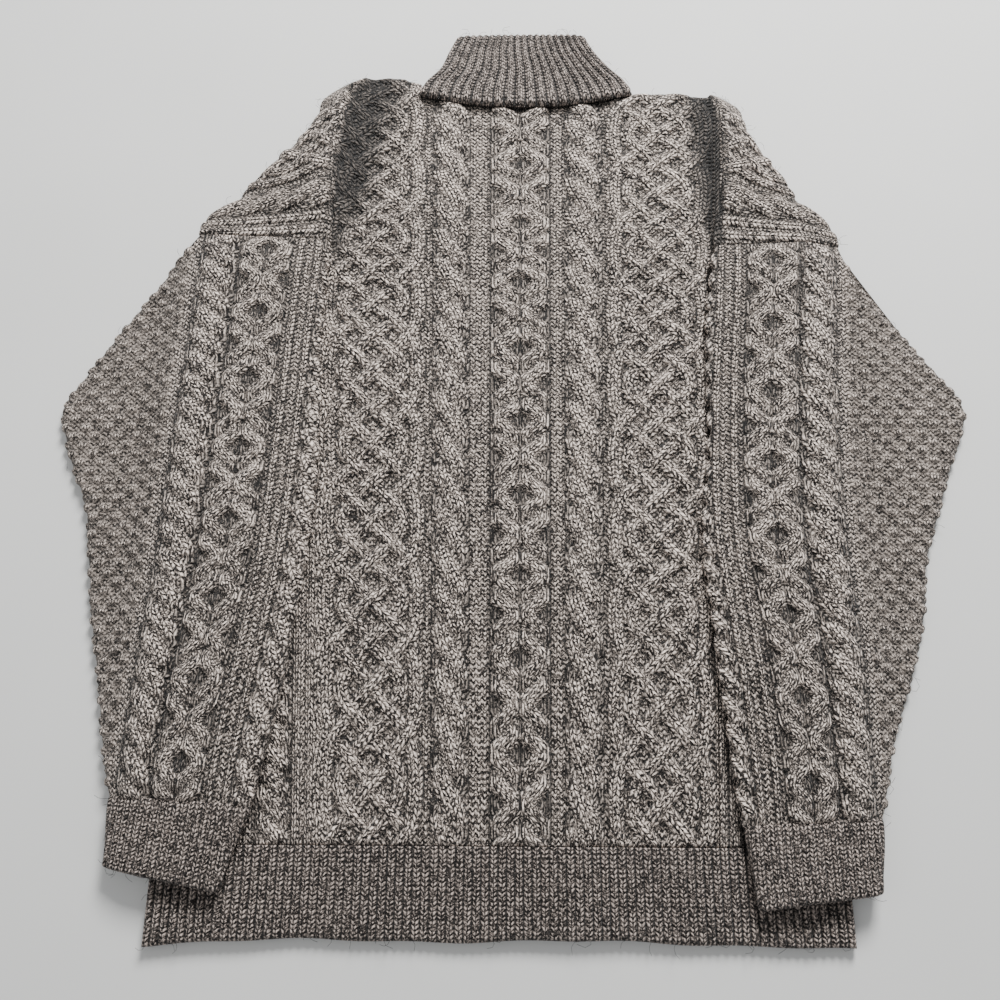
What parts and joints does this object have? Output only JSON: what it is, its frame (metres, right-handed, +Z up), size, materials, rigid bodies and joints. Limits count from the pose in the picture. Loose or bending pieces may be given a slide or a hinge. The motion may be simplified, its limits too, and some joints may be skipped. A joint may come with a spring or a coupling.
{
  "type": "cable knit sweater",
  "caption": "Long-sleeved cable knit sweater with a ribbed stand collar, laid flat with its back up and its sleeves folded in along its sides.",
  "frame": {"origin": "on the surface the sweater rests on, at the middle of its outline, a point of the front panel's flat underside", "axes": "+X across the garment to the right of someone looking down at it with its collar away from them, +Y along it towards the collar, +Z up out of its back"},
  "size_m": [0.7376, 0.785, 0.0286],
  "materials": {
    "wool": "matte, brown-grey marled wool in cable stitch",
    "rib": "matte, brown-grey marled wool in rib stitch"
  },
  "bodies": {
    "root": {"front": "wool", "back": "wool", "hem_front": "rib", "hem_back": "rib", "shoulder_left": "wool", "shoulder_right": "wool", "sleeve_left": "wool", "sleeve_right": "wool", "cuff_left": "rib", "cuff_right": "rib", "collar": "rib"}
  },
  "joints": []
}
